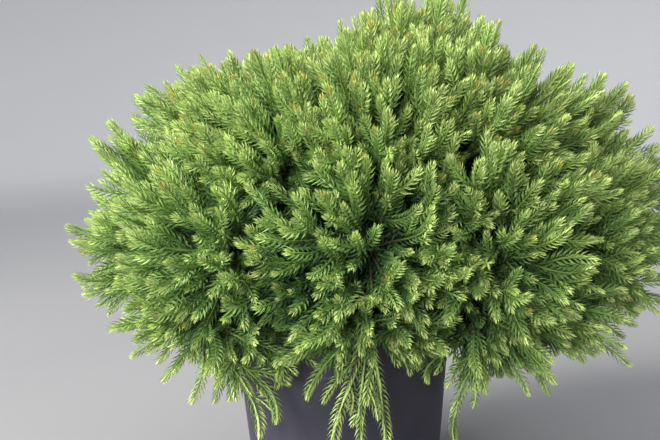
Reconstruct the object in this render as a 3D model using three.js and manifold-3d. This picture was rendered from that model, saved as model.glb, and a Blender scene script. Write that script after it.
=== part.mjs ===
// Potted dwarf conifer: a spreading dome of fox-tail sprays on arching boughs, in a black pot.
// Millimetres, Z up. The origin is the middle of the pot's flat underside, +X is the plant's
// right and -Y its front.

import * as THREE from 'three';
import { mergeVertices } from 'three/addons/utils/BufferGeometryUtils.js';
import Module from 'manifold-3d';

const wasm = await Module();
wasm.setup();

// Gap kept between neighbouring pieces
const pieceGap = 0.3;

// How far a limb's curve holds its direction at each end, as a share of its span
const curvePull = 0.36;

// Pot
const potHeight = 280;
const potBaseRadius = 136;
const potRimRadius = 160;
const potLipRadius = 165;
const potLipHeight = 14;
const potWall = 2.6;
const potFloor = 3;
const potEdge = 2;
const potSides = 44;
const drainHoles = 8;
const drainHoleRadius = 7;
const drainCircleRadius = 92;
const drainHoleSides = 10;

// Potting mix
const mixTop = 255;
const mixHollow = 3;
const trunkPlateRadius = 40;

// Trunk: a short stem, hidden in the crown, from a root flare on the potting mix to its fork
const trunkFootRadius = 17;
const trunkTopRadius = 12;
const rootFlare = 11;
const rootFlareHeight = 16;
const rootRidges = 5;
const rootRidgeShare = 0.14;
const trunkSides = 10;
const trunkSteps = 8;
const trunkFoot = new THREE.Vector3(4, 0, mixTop + pieceGap);
const trunkFork = new THREE.Vector3(46, 4, 408);
const trunkForkBearing = 8;
const trunkForkRise = 66;

// Crown: reach from its heart in every direction, a half ellipsoid above and a flatter one below
const heart = new THREE.Vector3(58, 0, 335);
const crownHalfWidth = 440;
const crownHalfDepth = 400;
const crownUp = 385;
const crownDown = 255;

// Swells and hollows in the crown's outline: bearing and rise in degrees from its heart
const swells = [
  { bearing: 180, rise: 29, gain: 0.085, width: 14 },
  { bearing: 180, rise: 68, gain: -0.1, width: 15 },
  { bearing: 180, rise: 77, gain: -0.06, width: 10 },
  { bearing: 236, rise: 68, gain: -0.08, width: 11 },
  { bearing: 124, rise: 68, gain: -0.08, width: 11 },
  { bearing: 180, rise: 7, gain: 0.06, width: 9 },
  { bearing: 180, rise: -17, gain: -0.13, width: 9 },
  { bearing: 0, rise: 76, gain: 0.09, width: 13 },
  { bearing: 0, rise: 55, gain: -0.1, width: 14 },
  { bearing: 0, rise: 28, gain: 0.07, width: 15 },
  { bearing: 0, rise: -18, gain: -0.13, width: 16 },
  { bearing: 270, rise: -38, gain: -0.26, width: 38 },
];

// Rings of boughs. Each bough leaves the trunk at a share of its height and ends where it enters
// its mass of foliage, which is centred on the ring's rise seen from the heart.
const rings = [
  { name: 'skirt', count: 8, rise: -27, frontLift: 14, turn: -8, leave: [0.2, 0.36], leaveRise: 22 },
  { name: 'side', count: 9, rise: 13, frontLift: 0, turn: 20, leave: [0.46, 0.6], leaveRise: 20 },
  { name: 'shoulder', count: 8, rise: 44, frontLift: 0, turn: 0, leave: [0.7, 0.82], leaveRise: 45 },
  { name: 'top', count: 3, rise: 74, frontLift: 0, turn: 50, leave: [0.9, 0.9], leaveRise: 50 },
];
const leaveSteps = 3;
const firstSeed = 7001;
const seedStep = 613;
const bearingPlay = 8;
const risePlay = 5;
const entryShare = 0.44;
const rimClearance = 27;
const boughFootRadius = 6;
const boughTipRadius = 4.4;
const boughSides = 4;
const boughSteps = 4;

// Foliage of one mass: a stem that runs out to the crown, clad in needles, and sprays that branch
// from it towards tips dealt out evenly round its own
const growthLift = 0.45;
const skirtLift = 0.1;
const skirtDroop = 1.9;
const siteShare = 0.8;
const stemRadius = 4.4;
const spraysPerMass = 7;
const sprayLeaveFirst = 0.46;
const sprayLeaveLast = 0.22;
const sprayLeaveSlope = 1.1;
const spraySpread = 23;
const innerRoom = 1.2;
const outerRoom = 0.7;
const goldenAngle = 137.508;
const turnPlay = 40;
const tipUnevenness = 0.09;
const spaceMargin = 0.6;
const sprayGap = 22;
const pullInTries = 7;
const pullInShare = 0.1;
const potClearance = 26;

// Plumes: long sprays that hang before the pot, each from the stem of a skirt mass down to a tip at
// a bearing round the pot's middle and a height
const plumes = [
  { mass: 'skirt_6', bearing: 236, height: 140 },
  { mass: 'skirt_7', bearing: 265, height: 120 },
  { mass: 'skirt_7', bearing: 275, height: 114 },
  { mass: 'skirt_7', bearing: 285, height: 132 },
  { mass: 'skirt_8', bearing: 317, height: 112 },
];
const plumeClearance = 56;
const plumeLeaveShare = 0.3;
const plumeOutward = 0.25;

// One spray: a slim three-sided twig that needles stand out of
const twigFootRadius = 2.6;
const twigRadius = 5.6;
const twigEndRadius = 3.8;
const sprayBareShare = 0.2;
const stemBareShare = 0.14;
const needlesEndShare = 0.9;
const apartFromShare = 0.32;
const stemApartFromShare = 0.5;
const needleFootShare = 0.4;
const needleOut = 20;
const needleForward = 23;
const needleRowLength = 34;
const fewestRows = 3;
const sprayRadius = twigRadius + needleOut;

const up = new THREE.Vector3(0, 0, 1);
const sideGuide = new THREE.Vector3(0.3, 0.9, 0.1);

// A repeatable stream of numbers from 0 to 1
function seededDraws(seed) {
  const modulus = 2147483647;
  const multiplier = 48271;
  let state = seed;
  const draw = () => {
    state = (state * multiplier) % modulus;
    return state / modulus;
  };
  draw();
  draw();
  return draw;
}

// The unit vector at a bearing round from +X and a rise above level, in degrees
function directionAt(bearing, rise) {
  const turn = THREE.MathUtils.degToRad(bearing);
  const lift = THREE.MathUtils.degToRad(rise);
  return new THREE.Vector3(
    Math.cos(turn) * Math.cos(lift), Math.sin(turn) * Math.cos(lift), Math.sin(lift));
}

// The unit vector that leans off another by an angle, turned about it, in degrees
function leanedOff(direction, lean, turn) {
  const side = new THREE.Vector3().crossVectors(direction, up).normalize();
  side.applyAxisAngle(direction, THREE.MathUtils.degToRad(turn));
  return direction.clone().applyAxisAngle(side, THREE.MathUtils.degToRad(lean));
}

// How far the crown reaches from its heart in a direction
function crownReach(direction) {
  const upright = direction.z > 0 ? crownUp : crownDown;
  const across = Math.hypot(direction.x / crownHalfWidth, direction.y / crownHalfDepth);
  let gain = 1;
  for (const swell of swells) {
    const angle = THREE.MathUtils.radToDeg(direction.angleTo(directionAt(swell.bearing, swell.rise)));
    gain += swell.gain * Math.exp(-((angle / swell.width) ** 2));
  }
  return gain / Math.hypot(across, direction.z / upright);
}

// The crown's surface point in a direction, or a point part of the way out to it
function crownPoint(direction, share) {
  return heart.clone().addScaledVector(direction, crownReach(direction) * share);
}

// Outside radius of the pot's wall at a height
function potRadiusAt(z) {
  const share = THREE.MathUtils.clamp(z / (potHeight - potLipHeight), 0, 1);
  const wall = potBaseRadius + (potRimRadius - potBaseRadius) * share;
  return z > potHeight - potLipHeight - potEdge ? potLipRadius : wall;
}

// The direction that shoots grow in at a tip: outwards, turned up on the crown, down on its skirt
function growthAt(direction) {
  const lift = direction.z > 0 ? growthLift : skirtLift + skirtDroop * direction.z;
  return direction.clone().addScaledVector(up, lift).normalize();
}

// A closed solid of a geometry, and a geometry of a solid
function solidOf(geometry) {
  const bare = geometry.clone();
  bare.deleteAttribute('normal');
  bare.deleteAttribute('uv');
  const merged = mergeVertices(bare);
  const mesh = new wasm.Mesh({
    numProp: 3,
    vertProperties: new Float32Array(merged.attributes.position.array),
    triVerts: new Uint32Array(merged.index.array),
  });
  return new wasm.Manifold(mesh);
}

function geometryOf(solid) {
  const mesh = solid.getMesh();
  const geometry = new THREE.BufferGeometry();
  geometry.setAttribute('position', new THREE.BufferAttribute(new Float32Array(mesh.vertProperties), 3));
  geometry.setIndex(new THREE.BufferAttribute(new Uint32Array(mesh.triVerts), 1));
  geometry.computeVertexNormals();
  return geometry;
}

// Points, tangents and side vectors along a curve, the sides carried on without twist
function framesAlong(curve, shares) {
  const frames = [];
  let side = null;
  for (const share of shares) {
    const tangent = curve.getTangent(share);
    if (side === null) {
      side = new THREE.Vector3().crossVectors(tangent, sideGuide);
    }
    side = side.clone().addScaledVector(tangent, -side.dot(tangent)).normalize();
    const third = new THREE.Vector3().crossVectors(side, tangent);
    frames.push({ point: curve.getPoint(share), tangent, side, third });
  }
  return frames;
}

// A closed tapering limb: a cylinder of unit size with its rings moved onto a curve
function limbGeometry(curve, radiusAt, sides, steps) {
  const geometry = new THREE.CylinderGeometry(1, 1, 1, sides, steps);
  const shares = Array.from({ length: steps + 1 }, (unused, i) => i / steps);
  const frames = framesAlong(curve, shares);
  const position = geometry.attributes.position;
  for (let i = 0; i < position.count; i++) {
    const share = position.getY(i) + 0.5;
    const frame = frames[Math.round(share * steps)];
    const radius = radiusAt(share, Math.atan2(position.getZ(i), position.getX(i)));
    const place = frame.point.clone();
    place.addScaledVector(frame.side, position.getX(i) * radius);
    place.addScaledVector(frame.third, position.getZ(i) * radius);
    position.setXYZ(i, place.x, place.y, place.z);
  }
  return geometry;
}

// A smooth curve between two points that leaves and arrives in given directions
function limbCurve(from, leaving, to, arriving) {
  const pull = from.distanceTo(to) * curvePull;
  return new THREE.CubicBezierCurve3(
    from, from.clone().addScaledVector(leaving, pull), to.clone().addScaledVector(arriving, -pull), to);
}

// Pot: a turned shell with a rolled lip, closed on itself, and holes in its floor
function potSolid() {
  const lipFoot = potHeight - potLipHeight;
  const innerTop = potRimRadius - potWall;
  const innerBase = potBaseRadius - potWall;
  const outline = [
    [0, 0],
    [potBaseRadius - potEdge, 0],
    [potBaseRadius, potEdge],
    [potRimRadius, lipFoot - potEdge],
    [potLipRadius, lipFoot],
    [potLipRadius, potHeight - potEdge],
    [potLipRadius - potEdge, potHeight],
    [innerTop + potEdge, potHeight],
    [innerTop, potHeight - potEdge],
    [innerBase, potFloor],
    [0, potFloor],
  ];
  const profile = outline.map(([radius, z]) => new THREE.Vector2(radius, z));
  const shell = new THREE.LatheGeometry(profile, potSides).rotateX(Math.PI / 2);
  let solid = solidOf(shell);
  for (let i = 0; i < drainHoles; i++) {
    const turn = (i + 0.5) / drainHoles * 2 * Math.PI;
    const hole = new THREE.CylinderGeometry(
      drainHoleRadius, drainHoleRadius, potFloor * 3, drainHoleSides).rotateX(Math.PI / 2);
    hole.translate(Math.cos(turn) * drainCircleRadius, Math.sin(turn) * drainCircleRadius, potFloor / 2);
    solid = solid.subtract(solidOf(hole));
  }
  return solid;
}

// Potting mix: fills the pot to a little under its lip, level round the trunk and sunk at the wall
function mixSolid() {
  const innerTop = potRimRadius - potWall;
  const innerBase = potBaseRadius - potWall;
  const floor = potFloor + pieceGap;
  const edgeTop = mixTop - mixHollow;
  const wallRise = potHeight - potEdge - potFloor;
  const wallAt = (z) => innerBase + (innerTop - innerBase) * (z - potFloor) / wallRise;
  const outline = [
    [0, floor],
    [wallAt(floor) - pieceGap, floor],
    [wallAt(edgeTop) - pieceGap, edgeTop],
    [trunkPlateRadius, mixTop],
    [0, mixTop],
  ];
  const profile = outline.map(([radius, z]) => new THREE.Vector2(radius, z));
  return solidOf(new THREE.LatheGeometry(profile, potSides).rotateX(Math.PI / 2));
}

// Trunk: tapers from its root flare to the fork, and leans towards the crown's heart
const trunkRise = trunkFork.z - trunkFoot.z;
const trunkCurve = new THREE.CubicBezierCurve3(
  trunkFoot,
  trunkFoot.clone().addScaledVector(up, trunkRise * curvePull),
  trunkFork.clone().addScaledVector(directionAt(trunkForkBearing, trunkForkRise), -trunkRise * curvePull),
  trunkFork);

function trunkRadiusAt(share, turn) {
  const taper = trunkFootRadius + (trunkTopRadius - trunkFootRadius) * share;
  const flare = Math.exp(-share * trunkRise / rootFlareHeight);
  const ridge = 1 + rootRidgeShare * Math.cos(turn * rootRidges) * flare;
  return (taper + rootFlare * flare) * ridge;
}

function trunkGeometry(extra) {
  const radiusAt = (share, turn) => trunkRadiusAt(share, turn) + extra;
  return limbGeometry(trunkCurve, radiusAt, trunkSides, trunkSteps);
}

// One plan for each bough and its mass: where it heads, where it enters the foliage and how
function planMasses() {
  const plans = [];
  for (const ring of rings) {
    for (let i = 0; i < ring.count; i++) {
      const draw = seededDraws(firstSeed + seedStep * plans.length);
      const bearing = ring.turn + i * 360 / ring.count + (draw() - 0.5) * bearingPlay;
      const frontness = Math.max(0, -Math.sin(THREE.MathUtils.degToRad(bearing)));
      const rise = ring.rise + ring.frontLift * frontness + (draw() - 0.5) * risePlay;
      const heading = directionAt(bearing, rise);
      const leave = THREE.MathUtils.lerp(...ring.leave, i % leaveSteps / (leaveSteps - 1));
      const foot = trunkCurve.getPoint(leave);
      const tip = crownPoint(heading, 1 - draw() * tipUnevenness);
      const entry = crownPoint(heading, entryShare);
      if (entry.z < potHeight + rimClearance) {
        entry.copy(tip).setZ(0).setLength(potLipRadius + rimClearance).setZ(potHeight + rimClearance);
      }
      const bearingOut = THREE.MathUtils.radToDeg(Math.atan2(entry.y - foot.y, entry.x - foot.x));
      const leaving = directionAt(bearingOut, ring.leaveRise);
      const arriving = tip.clone().sub(entry).normalize().add(leaving).normalize();
      const stemFoot = entry.clone().addScaledVector(arriving, pieceGap);
      plans.push({
        name: `${ring.name}_${i + 1}`,
        heading,
        site: crownPoint(heading, siteShare),
        bough: limbCurve(foot, leaving, entry, arriving),
        stem: limbCurve(stemFoot, arriving, tip, growthAt(heading)),
        draw,
      });
    }
  }
  return plans;
}

// A mass keeps to its own space: no nearer to another mass's site than to its own
function insideSpace(point, radius, plan, plans) {
  for (const other of plans) {
    if (other === plan) continue;
    const between = other.site.clone().sub(plan.site).normalize();
    const middle = plan.site.clone().lerp(other.site, 0.5);
    if (between.dot(middle.sub(point)) < radius + spaceMargin) return false;
  }
  return true;
}

// Clear of the pot, the potting mix, the trunk and every bough
function clearOfLimbs(point, radius, limbs) {
  const across = Math.hypot(point.x, point.y);
  if (point.z < potHeight + radius && across < potRadiusAt(point.z) + radius) return false;
  return limbs.every((limb) => limb.point.distanceTo(point) > limb.radius + radius + spaceMargin);
}

// Points along the trunk and the boughs, close enough together to stand for the limbs
function limbSamples(plans) {
  const samples = [];
  const sampleCount = 24;
  for (let i = 0; i <= sampleCount; i++) {
    const share = i / sampleCount;
    samples.push({ point: trunkCurve.getPoint(share), radius: trunkRadiusAt(share, 0) });
    for (const plan of plans) {
      samples.push({ point: plan.bough.getPoint(share), radius: boughFootRadius });
    }
  }
  return samples;
}

// Points along a spray where it has spread clear of the stem
function outerSamples(curve, fromShare) {
  const sampleCount = 10;
  return Array.from({ length: sampleCount + 1 }, (unused, i) => (
    curve.getPoint(fromShare + (1 - fromShare) * i / sampleCount)));
}

// The curve of a shoot that branches off a stem towards a tip
function branchCurve(stem, leaveShare, tip, arriving) {
  const foot = stem.getPoint(leaveShare);
  const along = stem.getTangent(leaveShare);
  const sideways = tip.clone().sub(foot).projectOnPlane(along).normalize();
  const leaving = along.addScaledVector(sideways, sprayLeaveSlope).normalize();
  return limbCurve(foot, leaving, tip, arriving);
}

// Whether the outer part of a spray keeps to its mass's space and clear of the limbs
function sprayFits(samples, plan, plans, limbs) {
  return samples.every((point) => (
    insideSpace(point, sprayRadius, plan, plans) && clearOfLimbs(point, sprayRadius, limbs)));
}

// The curve of one plume, or null where it doesn't fit
function plumeCurve(plume, plan, plans, limbs, taken) {
  const level = directionAt(plume.bearing, 0);
  const tip = level.clone().multiplyScalar(potRadiusAt(plume.height) + plumeClearance).setZ(plume.height);
  const arriving = level.multiplyScalar(plumeOutward).sub(up).normalize();
  const curve = branchCurve(plan.stem, plumeLeaveShare, tip, arriving);
  const samples = outerSamples(curve, apartFromShare);
  if (!sprayFits(samples, plan, plans, limbs)) return null;
  taken.push(...samples);
  return curve;
}

// The curve of one spray, from the stem to its tip on the crown, or null where nothing fits
function sprayCurve(plan, plans, limbs, number, taken) {
  const spreadShare = Math.sqrt((number + innerRoom) / (spraysPerMass + outerRoom));
  const turn = number * goldenAngle + plan.draw() * turnPlay;
  const tipShare = 1 - plan.draw() * tipUnevenness;
  const leaveShare = THREE.MathUtils.lerp(sprayLeaveFirst, sprayLeaveLast, spreadShare);
  for (let attempt = 0; attempt < pullInTries; attempt++) {
    const lean = spraySpread * spreadShare * (1 - attempt * pullInShare);
    const direction = leanedOff(plan.heading, lean, turn);
    const tip = crownPoint(direction, tipShare);
    const across = Math.hypot(tip.x, tip.y);
    const least = potRadiusAt(tip.z) + potClearance;
    if (tip.z < potHeight && across < least) {
      tip.x *= least / across;
      tip.y *= least / across;
    }
    const curve = branchCurve(plan.stem, leaveShare, tip, growthAt(direction));
    const samples = outerSamples(curve, apartFromShare);
    const apart = samples.every((point) => taken.every((other) => other.distanceTo(point) > sprayGap));
    if (apart && sprayFits(samples, plan, plans, limbs)) {
      taken.push(...samples);
      return curve;
    }
  }
  return null;
}

// A spray: rings of three corners, each turned half a step on from the last, with the faces that
// point to the tip raised into needles
function spraySolid(curve, footRadius, bareShare) {
  const needleLength = curve.getLength() * (needlesEndShare - bareShare);
  const rows = Math.max(fewestRows, Math.round(needleLength / needleRowLength));
  const shares = [0];
  const radii = [footRadius];
  for (let i = 0; i <= rows; i++) {
    shares.push(THREE.MathUtils.lerp(bareShare, needlesEndShare, i / rows));
    radii.push(THREE.MathUtils.lerp(twigRadius, twigEndRadius, i / rows));
  }
  const frames = framesAlong(curve, shares);
  const step = 2 * Math.PI / 3;
  const vertices = [];
  const faces = [];
  const addVertex = (point) => {
    vertices.push(point.x, point.y, point.z);
    return vertices.length / 3 - 1;
  };
  const outwardsAt = (frame, turn) => (
    frame.side.clone().multiplyScalar(Math.cos(turn)).addScaledVector(frame.third, Math.sin(turn)));
  const corner = (ring, k) => 3 * ring + k % 3;

  frames.forEach((frame, ring) => {
    for (let k = 0; k < 3; k++) {
      const outwards = outwardsAt(frame, step * (k + ring / 2));
      addVertex(frame.point.clone().addScaledVector(outwards, radii[ring]));
    }
  });
  for (let ring = 0; ring + 1 < frames.length; ring++) {
    const frame = frames[ring];
    for (let k = 0; k < 3; k++) {
      const [left, right] = [corner(ring, k), corner(ring, k + 1)];
      const [ahead, next] = [corner(ring + 1, k), corner(ring + 1, k + 1)];
      faces.push([right, ahead, next]);
      if (ring === 0) {
        faces.push([left, ahead, right]);
        continue;
      }
      const outwards = outwardsAt(frame, step * (k + (ring + 1) / 2));
      const middle = frame.point.clone().lerp(frames[ring + 1].point, needleFootShare);
      middle.addScaledVector(outwards, radii[ring] + needleOut);
      const needle = addVertex(middle.addScaledVector(frame.tangent, needleForward));
      faces.push([left, needle, right], [right, needle, ahead], [ahead, needle, left]);
    }
  }
  const tip = addVertex(curve.getPoint(1));
  const last = frames.length - 1;
  for (let k = 0; k < 3; k++) {
    faces.push([corner(last, k), tip, corner(last, k + 1)]);
  }
  faces.push([corner(0, 0), corner(0, 1), corner(0, 2)]);
  const mesh = new wasm.Mesh({
    numProp: 3,
    vertProperties: new Float32Array(vertices),
    triVerts: new Uint32Array(faces.flat()),
  });
  return new wasm.Manifold(mesh);
}

// One bough: a tapering limb cut clear of the trunk
function boughSolid(plan, trunkClear) {
  const radiusAt = (share) => boughFootRadius + (boughTipRadius - boughFootRadius) * share;
  return solidOf(limbGeometry(plan.bough, radiusAt, boughSides, boughSteps)).subtract(trunkClear);
}

// One mass of foliage: its stem with all its plumes and sprays fused on
function massSolid(plan, plans, limbs) {
  const taken = outerSamples(plan.stem, stemApartFromShare);
  const curves = plumes
    .filter((plume) => plume.mass === plan.name)
    .map((plume) => plumeCurve(plume, plan, plans, limbs, taken));
  for (let number = 0; number < spraysPerMass; number++) {
    curves.push(sprayCurve(plan, plans, limbs, number, taken));
  }
  let solid = spraySolid(plan.stem, stemRadius, stemBareShare);
  for (const curve of curves) {
    if (curve === null) continue;
    solid = solid.add(spraySolid(curve, twigFootRadius, sprayBareShare));
  }
  return solid;
}

// Materials
const potPlastic = new THREE.MeshStandardMaterial({ color: 0x2b2b33, roughness: 0.5, metalness: 0 });
const pottingMix = new THREE.MeshStandardMaterial({ color: 0x3b2a1e, roughness: 1, metalness: 0 });
const bark = new THREE.MeshStandardMaterial({ color: 0x7a4f33, roughness: 0.9, metalness: 0 });
const foliage = new THREE.MeshStandardMaterial({ color: 0x6c9440, roughness: 0.6, metalness: 0 });

const plant = new THREE.Group();

function addPiece(name, solid, material) {
  const piece = new THREE.Mesh(geometryOf(solid), material);
  piece.name = name;
  plant.add(piece);
}

const plans = planMasses();
const limbs = limbSamples(plans);
const trunkClear = solidOf(trunkGeometry(pieceGap));

addPiece('pot', potSolid(), potPlastic);
addPiece('potting_mix', mixSolid(), pottingMix);
addPiece('trunk', solidOf(trunkGeometry(0)), bark);
for (const plan of plans) {
  addPiece(`bough_${plan.name}`, boughSolid(plan, trunkClear), bark);
}
for (const plan of plans) {
  addPiece(`foliage_${plan.name}`, massSolid(plan, plans, limbs), foliage);
}

export default plant;
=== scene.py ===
"""Potted dwarf conifer, dressed: a dense dome of fox-tail shoots over a black nursery pot.

Metres and degrees, Z up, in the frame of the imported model. The crown grows by the same rule as the
solids: boughs from a short trunk, a stem on each bough's tip, and leading shoots off the stem. Here more
leading shoots fill in, side shoots branch off them all, and each is clad in needles, as folded blades.
"""
import math
from dataclasses import dataclass

import bpy
import numpy as np
from mathutils import Matrix, Vector


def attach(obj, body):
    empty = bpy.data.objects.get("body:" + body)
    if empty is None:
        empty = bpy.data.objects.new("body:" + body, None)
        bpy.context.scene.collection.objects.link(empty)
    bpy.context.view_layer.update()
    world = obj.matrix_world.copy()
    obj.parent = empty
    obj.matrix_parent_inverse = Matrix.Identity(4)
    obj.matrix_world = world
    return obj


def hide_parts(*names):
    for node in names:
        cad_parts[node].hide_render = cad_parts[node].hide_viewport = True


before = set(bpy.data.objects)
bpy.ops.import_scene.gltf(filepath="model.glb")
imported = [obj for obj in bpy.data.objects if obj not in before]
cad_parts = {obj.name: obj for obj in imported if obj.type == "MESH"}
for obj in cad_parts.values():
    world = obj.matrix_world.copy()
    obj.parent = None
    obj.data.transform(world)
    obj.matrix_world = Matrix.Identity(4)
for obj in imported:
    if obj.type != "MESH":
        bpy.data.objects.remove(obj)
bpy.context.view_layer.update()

BODY = "root"

# Trunk, as in the solids
TRUNK_FOOT = np.array([0.004, 0.0, 0.2553])
TRUNK_FORK = np.array([0.046, 0.004, 0.408])
TRUNK_FORK_HEADING = (8, 66)
TRUNK_RADII = (0.017, 0.012)
ROOT_FLARE = 0.011
ROOT_FLARE_HEIGHT = 0.016
ROOT_RIDGES = 5
ROOT_RIDGE_SHARE = 0.14
CURVE_PULL = 0.36
PIECE_GAP = 0.0003

# Pot and potting mix, as in the solids
POT_HEIGHT = 0.280
POT_BASE_RADIUS = 0.136
POT_RIM_RADIUS = 0.160
POT_LIP_RADIUS = 0.165
POT_LIP_HEIGHT = 0.014
POT_WALL = 0.0026
POT_FLOOR = 0.003
POT_EDGE = 0.002
DRAIN_HOLES = 8
DRAIN_HOLE_RADIUS = 0.007
DRAIN_CIRCLE_RADIUS = 0.092
MIX_TOP = 0.255

# Crown, as in the solids: its reach from the heart, and each swell's bearing, rise, gain and width
HEART = np.array([0.058, 0.0, 0.335])
CROWN_HALF_WIDTH = 0.440
CROWN_HALF_DEPTH = 0.400
CROWN_UP = 0.385
CROWN_DOWN = 0.255
SWELLS = [
    (180, 29, 0.085, 14), (180, 68, -0.1, 15), (180, 77, -0.06, 10), (236, 68, -0.08, 11),
    (124, 68, -0.08, 11), (180, 7, 0.06, 9), (180, -17, -0.13, 9), (0, 76, 0.09, 13),
    (0, 55, -0.1, 14), (0, 28, 0.07, 15), (0, -18, -0.13, 16), (270, -38, -0.26, 38),
]

# Rings of boughs, as in the solids, with their extra rise in front and how they leave the trunk
RINGS = [
    {"name": "skirt", "count": 8, "rise": -27, "front": 14, "turn": -8, "leave": (0.2, 0.36), "steep": 22},
    {"name": "side", "count": 9, "rise": 13, "front": 0, "turn": 20, "leave": (0.46, 0.6), "steep": 20},
    {"name": "shoulder", "count": 8, "rise": 44, "front": 0, "turn": 0, "leave": (0.7, 0.82), "steep": 45},
    {"name": "top", "count": 3, "rise": 74, "front": 0, "turn": 50, "leave": (0.9, 0.9), "steep": 50},
]
LEAVE_STEPS = 3
FIRST_SEED = 7001
SEED_STEP = 613
DRAW_FACTOR = 48271
DRAW_MODULUS = 2147483647
BEARING_PLAY = 8
RISE_PLAY = 5
ENTRY_SHARE = 0.44
RIM_CLEARANCE = 0.027
BOUGH_RADII = (0.006, 0.0044)
GROWTH_LIFT = 0.45
SKIRT_LIFT = 0.1
SKIRT_DROOP = 1.9
SITE_SHARE = 0.8
GOLDEN_ANGLE = 137.508
TURN_PLAY = 40
TIP_UNEVENNESS = 0.09
SPACE_MARGIN = 0.0006
PULL_IN_TRIES = 7
PULL_IN_SHARE = 0.1
POT_CLEARANCE = 0.026
LEAVE_SHARES = (0.46, 0.22)
LEAVE_SLOPE = 1.1
APART_FROM = 0.32
STEM_APART_FROM = 0.5

# Plumes before the pot, as in the solids, and thinner ones between them: mass, bearing and height
PLUMES = [
    ("skirt_6", 236, 0.140), ("skirt_7", 265, 0.120), ("skirt_7", 275, 0.114), ("skirt_7", 285, 0.132),
    ("skirt_8", 317, 0.112),
]
SLIM_PLUMES = [("skirt_6", 244, 0.165), ("skirt_7", 257, 0.132)]
SLIM_RADIUS = 0.009
PLUME_CLEARANCE = 0.056
PLUME_LEAVE_SHARE = 0.3
PLUME_OUTWARD = 0.25

# Points that stand for a curve
LENGTH_SAMPLES = 13
LIMB_SAMPLES = 25
SHOOT_SAMPLES = 11
INNER_SAMPLES = 9
SIDE_SAMPLES = 5

UP = np.array([0.0, 0.0, 1.0])
SIDE_GUIDE = np.array([0.3, 0.9, 0.1])
TINY = 1e-6
TRIANGLE_SIDES = 3
QUAD_SIDES = 4


@dataclass
class Leaders:
    """How one set of leading shoots is dealt out round a stem."""
    count: int
    spread: float
    inner_room: float
    outer_room: float
    first_turn: float
    radius: float
    gap: float
    low_reach: float


# The solids' own sprays, and the shoots that fill in between them
SOLID_LEADERS = Leaders(
    count=7, spread=23, inner_room=1.2, outer_room=0.7, first_turn=0, radius=0.0256, gap=0.022,
    low_reach=1)
FILL_LEADERS = Leaders(
    count=16, spread=31, inner_room=0.6, outer_room=0.4, first_turn=70, radius=0.007, gap=0.012,
    low_reach=0.86)

# Leading shoots that leave the boughs and the feet of the stems, and end inside the crown
INNER_BOUGH_SHARES = (0.18, 1.0)
INNER_STEM_SHARES = (0.05, 0.35)
INNER_SPACING = 0.0145
INNER_LEAN = (10, 46)
INNER_TIP_SHARE = (0.56, 0.92)
INNER_CLEAR_FROM = 0.15
INNER_POT_CLEARANCE = 0.014

# Side shoots of a leading shoot
SIDE_SPACING = 0.0188
SIDE_FEWEST = 3
SIDE_SPAN = (0.22, 0.90)
SIDE_PLACE = 0.2
SIDE_PLACE_PLAY = 0.6
SIDE_LENGTHS = (0.118, 0.048)
SIDE_LENGTH_CURVE = 0.8
SIDE_LENGTH_PLAY = 0.3
SIDE_LEAVE_ANGLE = 42
SIDE_ARRIVE_ANGLE = 12
SIDE_TOP_ANGLES = 0.62
SIDE_LIFT = 0.12
SIDE_REACH = (0.87, 0.985)
SIDE_SKIRT_REACH = 0.87
SIDE_CLEAR_FROM = 0.3
SIDE_POT_CLEARANCE = 0.012
SIDE_TRIES = 5
SIDE_PULL_IN = 0.75

# The skirt, by its rise seen from the heart: its side shoots are shorter and further apart
SKIRT_RISES = (-24, 2)
SKIRT_SPACING = 1.6
SKIRT_SIDE_LENGTH = 0.72
SKIRT_NEEDLE_LENGTH = 0.98

# Heights where the crown passes into its top and into its plumes, where needles are painted paler as
# painted light
TOP_HEIGHTS = (0.40, 0.60)
PLUME_HEIGHTS = (0.20, 0.34)

# Needles: their number, size, lean and crowding. The first turn is in radians
NEEDLES_PER_METRE = 620
NEEDLES_FEWEST = 8
NEEDLES_A_PIECE = 96000
NEEDLE_FACES = np.array([[0, 3, 1], [0, 2, 3]])
NEEDLE_LENGTH = 0.0164
NEEDLE_LENGTH_PLAY = 0.28
NEEDLE_LENGTH_RANGE = (0.93, 1.07)
NEEDLE_WIDTH = 0.0025
NEEDLE_WIDTH_RANGE = (0.85, 1.15)
NEEDLE_BROADEST_SHARE = 0.45
NEEDLE_RISE_SHARE = 0.05
NEEDLE_BEND_SHARE = 0.14
NEEDLE_ROOT_OUT = 0.0005
NEEDLE_LEANS = (42, 17)
NEEDLE_LEAN_PLAY = 2.5
NEEDLE_TURN = 144.8
NEEDLE_TURN_PLAY = 3
NEEDLE_FIRST_TURN = 6
NEEDLE_PLACE = 0.7
NEEDLE_CROWDING = 1.25
NEEDLE_TUFT_LENGTH = 0.008
NEEDLE_TUFT_SHORTER = 0.55
PALE_TIP_LENGTH = 0.014

# Needles deep in the crown, by their share of its reach: fewer are kept, and they are wider
THINNED_DEPTHS = (0.4, 0.6)
THINNED_KEPT = (0.7, 1.0)
WIDER_DEPTHS = (0.55, 0.85)
WIDER_BY = (1.9, 1.0)

# Shares of a shoot's foot that carry no needles
STEM_BARE = 0.14
LEADER_BARE = 0.1
SIDE_BARE = 0.06

# Colours as seen, 0 to 255: the classes of needles from dark to pale, then two rare kinds of tips
NEEDLE_COLOURS = {
    "deep": (44, 72, 48),
    "shade": (78, 111, 63),
    "mid": (106, 141, 73),
    "fresh": (131, 161, 86),
    "bright": (154, 180, 101),
    "lime": (177, 196, 117),
    "cream": (180, 203, 114),
    "bronze": (170, 172, 86),
}
LIME, CREAM, BRONZE = [list(NEEDLE_COLOURS).index(name) for name in ("lime", "cream", "bronze")]
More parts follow.
